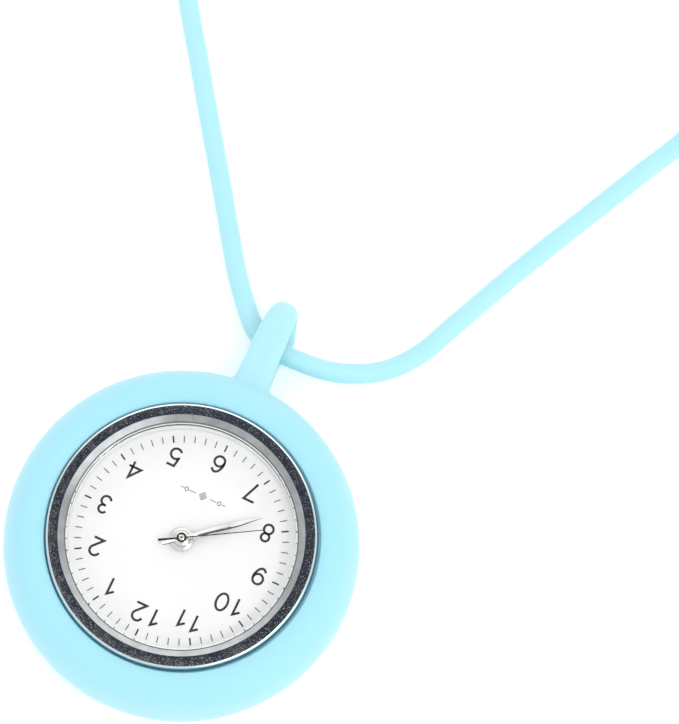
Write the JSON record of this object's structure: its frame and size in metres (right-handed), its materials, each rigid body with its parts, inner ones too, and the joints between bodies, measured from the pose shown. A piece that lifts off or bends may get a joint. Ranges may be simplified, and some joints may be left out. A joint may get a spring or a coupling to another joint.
{
  "type": "fob watch",
  "caption": "Quartz fob watch head in a soft light-blue silicone ring with a moulded hanging loop, on a silicone neck cord.",
  "frame": {"origin": "centre of the case back's flat outer face, which the watch lies on", "axes": "+Z out of the dial, +Y from the centre towards 6 o'clock and the hanging loop, +X towards 9 o'clock"},
  "size_m": [0.0759, 0.1556, 0.0114],
  "materials": {
    "silicone": "soft matt silicone, light aqua blue",
    "cord_silicone": "soft matt silicone cord, light aqua blue",
    "joiner_plastic": "translucent glossy sleeve",
    "tie_band": "woven tie band",
    "bezel_steel": "polished, finely pitted from handling",
    "case_steel": "brushed",
    "polished_steel": "polished",
    "movement_steel": "fine brushed",
    "hand_steel": "mirror polished",
    "mineral_glass": "clear, polished",
    "gasket_rubber": "matt black",
    "gasket_nylon": "dark grey moulded nylon",
    "dial_white": "satin white lacquer, dark grey printing",
    "holder_plastic": "white moulded plastic",
    "plate_plastic": "dark moulded plastic",
    "brass": "polished brass",
    "copper_wire": "enamelled copper wire",
    "magnet": "ground magnet",
    "circuit": "solder mask green",
    "chip": "moulded black"
  },
  "bodies": {
    "watch_body": {"silicone_case": "silicone", "neck_cord": "cord_silicone", "neck_cord_tail": "cord_silicone", "neck_cord_coil": "cord_silicone", "coil_tie": "tie_band", "cord_joiner": "joiner_plastic", "watch_case": "case_steel", "crown_tube": "polished_steel", "bezel": "bezel_steel", "crystal": "mineral_glass", "crystal_gasket": "gasket_nylon", "case_back": "case_steel", "case_back_gasket": "gasket_rubber", "dial": "dial_white", "dial_ring": "holder_plastic", "movement_holder": "holder_plastic", "main_plate": "plate_plastic", "train_bridge": "movement_steel", "bridge_screw_1": "polished_steel", "bridge_screw_2": "polished_steel", "bridge_screw_3": "polished_steel", "battery": "polished_steel", "battery_clamp": "polished_steel", "circuit_board": "circuit", "controller_chip": "chip", "quartz_resonator": "polished_steel", "stator": "movement_steel", "coil_core": "movement_steel", "coil_winding": "copper_wire"},
    "seconds": {"fourth_wheel": "brass", "second_hand": "hand_steel"},
    "minutes": {"centre_wheel": "brass", "cannon_pinion": "brass", "minute_hand": "hand_steel"},
    "hours": {"hour_wheel": "brass", "hour_hand": "hand_steel"},
    "third": {"third_wheel": "brass"},
    "intermediate": {"intermediate_wheel": "brass"},
    "rotor": {"rotor": "magnet"},
    "minute_wheel": {"minute_wheel": "brass"},
    "setting_wheel": {"setting_wheel": "polished_steel"},
    "lever": {"setting_lever": "movement_steel"},
    "crown_slide": {"crown_gasket": "gasket_rubber"},
    "crown": {"crown": "polished_steel", "stem": "movement_steel", "sliding_pinion": "brass"}
  },
  "joints": [
    {"name": "second_hand_turn", "type": "hinge", "parent": "watch_body", "child": "seconds", "pos_m": [0, 0, 0.006], "axis": [0, 0, -1], "continuous": true},
    {"name": "minute_hand_turn", "type": "hinge", "parent": "watch_body", "child": "minutes", "pos_m": [0, 0, 0.006], "axis": [0, 0, -1], "continuous": true},
    {"name": "hour_hand_turn", "type": "hinge", "parent": "watch_body", "child": "hours", "pos_m": [0, 0, 0.0078], "axis": [0, 0, -1], "continuous": true},
    {"name": "third_wheel_turn", "type": "hinge", "parent": "watch_body", "child": "third", "pos_m": [-0.00049, 0.00276, 0.0045], "axis": [0, 0, -1], "continuous": true},
    {"name": "intermediate_wheel_turn", "type": "hinge", "parent": "watch_body", "child": "intermediate", "pos_m": [0.00288, 0, 0.004], "axis": [0, 0, -1], "continuous": true},
    {"name": "rotor_turn", "type": "hinge", "parent": "watch_body", "child": "rotor", "pos_m": [0.00436, 0.00177, 0.0045], "axis": [0, 0, -1], "continuous": true},
    {"name": "minute_wheel_turn", "type": "hinge", "parent": "watch_body", "child": "minute_wheel", "pos_m": [-0.0024, 0, 0.0068], "axis": [0, 0, -1], "continuous": true},
    {"name": "setting_wheel_turn", "type": "hinge", "parent": "watch_body", "child": "setting_wheel", "pos_m": [-0.00495, 0, 0.0066], "axis": [0, 0, -1], "continuous": true},
    {"name": "crown_pull", "type": "slide", "parent": "watch_body", "child": "crown_slide", "axis": [-1, 0, 0], "range_m": [0, 0.0008]},
    {"name": "crown_turn", "type": "hinge", "parent": "crown_slide", "child": "crown", "pos_m": [-0.018, 0, 0.00535], "axis": [-1, 0, 0], "continuous": true},
    {"name": "setting_lever_swing", "type": "hinge", "parent": "watch_body", "child": "lever", "pos_m": [-0.0087, 0.0024, 0.0047], "axis": [0, 0, 1], "range_deg": [-20, 0]}
  ],
  "couplings": [
    {"joint": "intermediate_wheel_turn", "follows": "second_hand_turn", "ratio": -5},
    {"joint": "rotor_turn", "follows": "second_hand_turn", "ratio": 30},
    {"joint": "third_wheel_turn", "follows": "second_hand_turn", "ratio": -0.13333},
    {"joint": "minute_hand_turn", "follows": "second_hand_turn", "ratio": 0.016667},
    {"joint": "minute_wheel_turn", "follows": "second_hand_turn", "ratio": -0.0055556},
    {"joint": "hour_hand_turn", "follows": "second_hand_turn", "ratio": 0.0013889},
    {"joint": "setting_wheel_turn", "follows": "second_hand_turn", "ratio": 0.013333},
    {"joint": "setting_lever_swing", "follows": "crown_pull", "rad_per_m": -412.87}
  ]
}
